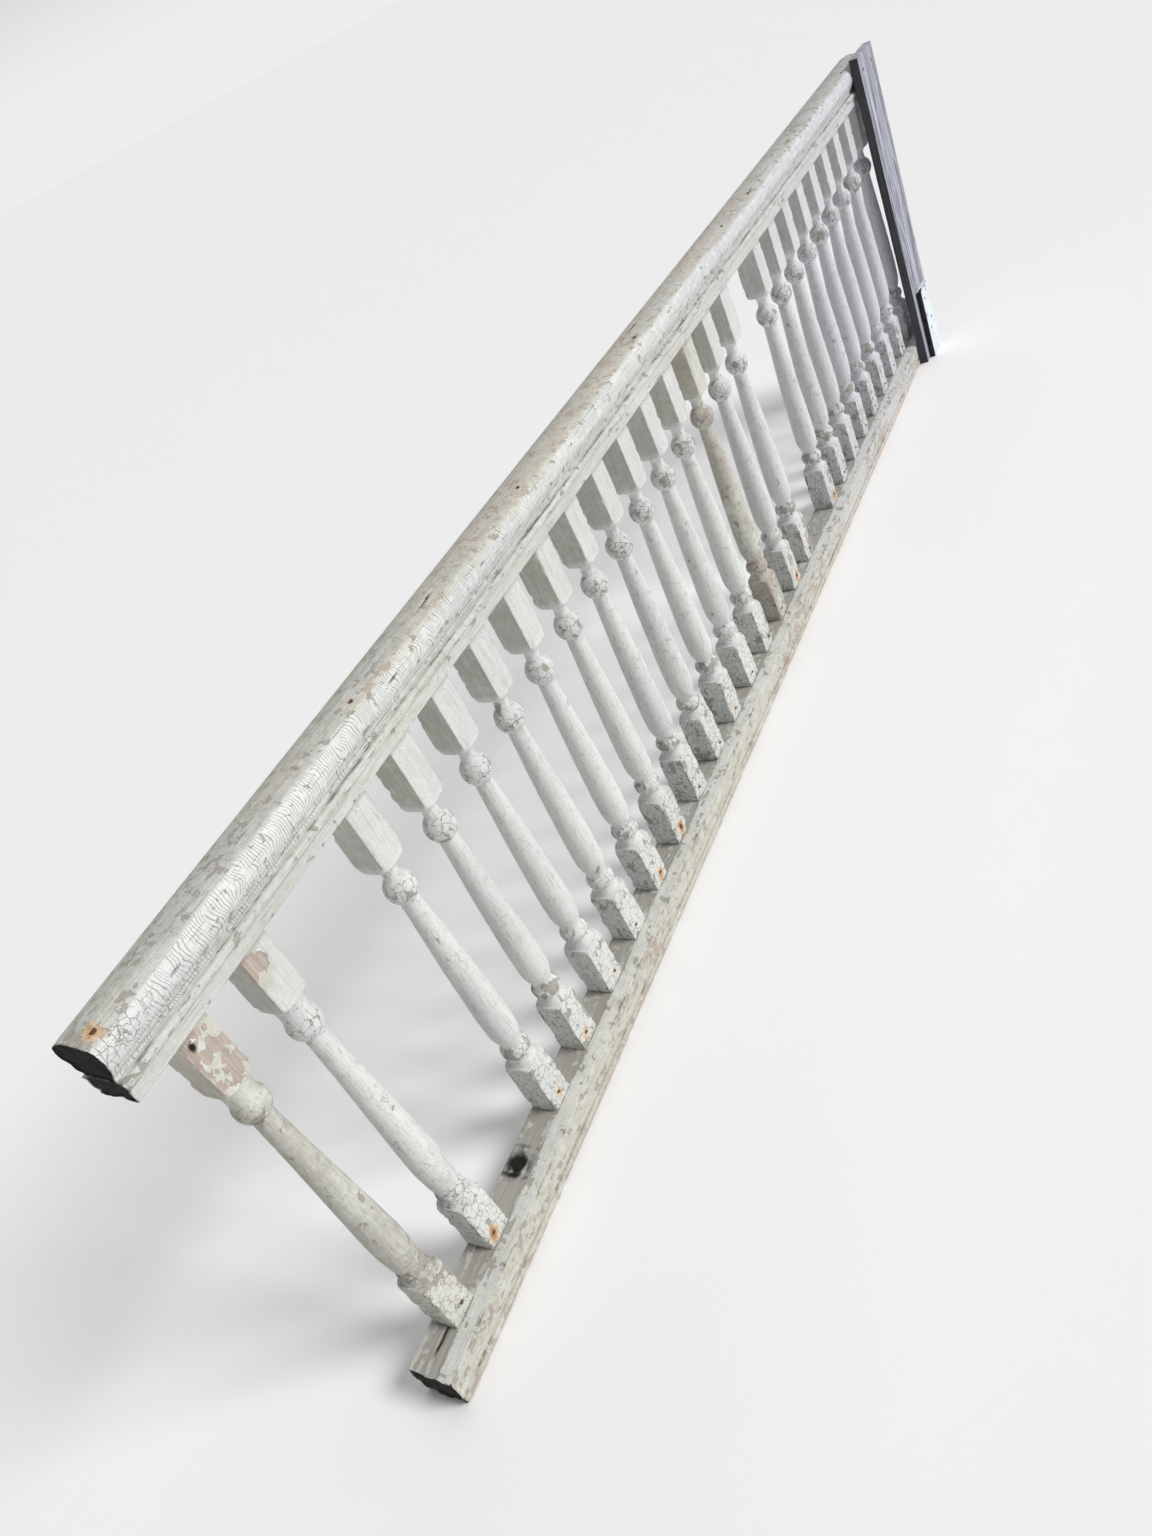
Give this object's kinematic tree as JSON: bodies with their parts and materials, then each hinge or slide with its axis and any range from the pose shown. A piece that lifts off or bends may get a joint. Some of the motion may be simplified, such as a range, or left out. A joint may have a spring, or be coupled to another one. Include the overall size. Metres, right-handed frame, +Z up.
{
  "type": "porch balustrade section",
  "caption": "Salvaged section of wooden porch balustrade: rounded handrail and bottom rail joined by turned balusters, with a rough board nailed across one end.",
  "frame": {"origin": "on the underside of the bottom rail, at mid-length, in the rails' centre plane", "axes": "+X along the rails from the near end to the end with the board, +Z up, -Y the show side that the board is nailed to"},
  "size_m": [3.1458, 0.114, 0.833],
  "materials": {
    "peeling_white_paint": "alligatored, peeling white paint over grey weathered wood",
    "bare_grey_wood": "bare, checked and silvered by weather",
    "pale_cleat_paint": "pale cool white paint, lightly worn",
    "rusty_iron": "rusted"
  },
  "bodies": {
    "root": {"bottom_rail": "peeling_white_paint", "sub_rail": "peeling_white_paint", "cap_rail": "peeling_white_paint", "baluster_01": "peeling_white_paint", "baluster_02": "peeling_white_paint", "baluster_04": "peeling_white_paint", "baluster_05": "peeling_white_paint", "baluster_06": "peeling_white_paint", "baluster_07": "peeling_white_paint", "baluster_08": "peeling_white_paint", "baluster_09": "peeling_white_paint", "baluster_10": "peeling_white_paint", "baluster_11": "peeling_white_paint", "baluster_12": "peeling_white_paint", "baluster_13": "peeling_white_paint", "baluster_14": "peeling_white_paint", "baluster_15": "peeling_white_paint", "baluster_16": "peeling_white_paint", "baluster_17": "peeling_white_paint", "baluster_19": "peeling_white_paint", "baluster_20": "peeling_white_paint", "baluster_21": "peeling_white_paint", "baluster_22": "peeling_white_paint", "baluster_23": "peeling_white_paint", "baluster_24": "peeling_white_paint", "baluster_25": "peeling_white_paint", "baluster_26": "peeling_white_paint", "baluster_27": "peeling_white_paint", "end_board": "bare_grey_wood", "foot_cleat": "pale_cleat_paint", "foot_toe_nails": "rusty_iron", "head_toe_nails": "rusty_iron", "cap_nails": "rusty_iron", "end_board_nails": "rusty_iron", "foot_cleat_nails": "rusty_iron"}
  },
  "joints": []
}
